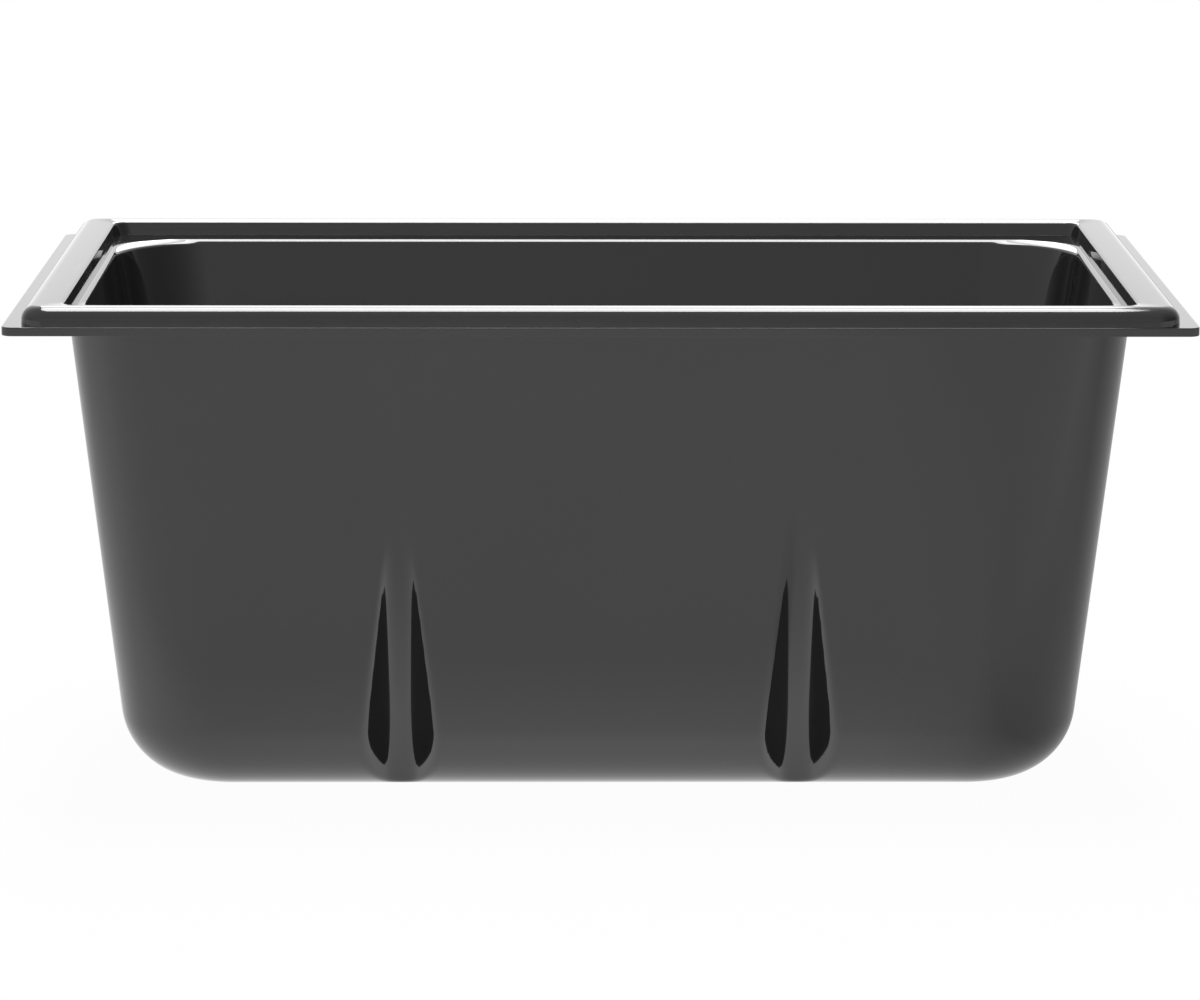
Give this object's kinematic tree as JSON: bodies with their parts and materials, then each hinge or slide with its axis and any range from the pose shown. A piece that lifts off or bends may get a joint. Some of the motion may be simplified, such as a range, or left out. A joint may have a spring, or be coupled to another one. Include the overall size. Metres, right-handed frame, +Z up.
{
  "type": "deli food pan",
  "caption": "Deep third-size black plastic food pan: tapered bowl with rounded corners, hanging flange, arched rim bead round a shallow lid recess, and anti-jam flutes.",
  "frame": {"origin": "centre of the base, on the surface the pan stands on", "axes": "+X along the pan's length, +Y from the front long wall to the back one, +Z up out of the bowl's mouth"},
  "size_m": [0.325, 0.176, 0.1441],
  "materials": {
    "black_plastic": "polished black moulded plastic, glossy inside and out, with a trace of orange peel"
  },
  "bodies": {
    "root": {"food_pan": "black_plastic"}
  },
  "joints": []
}
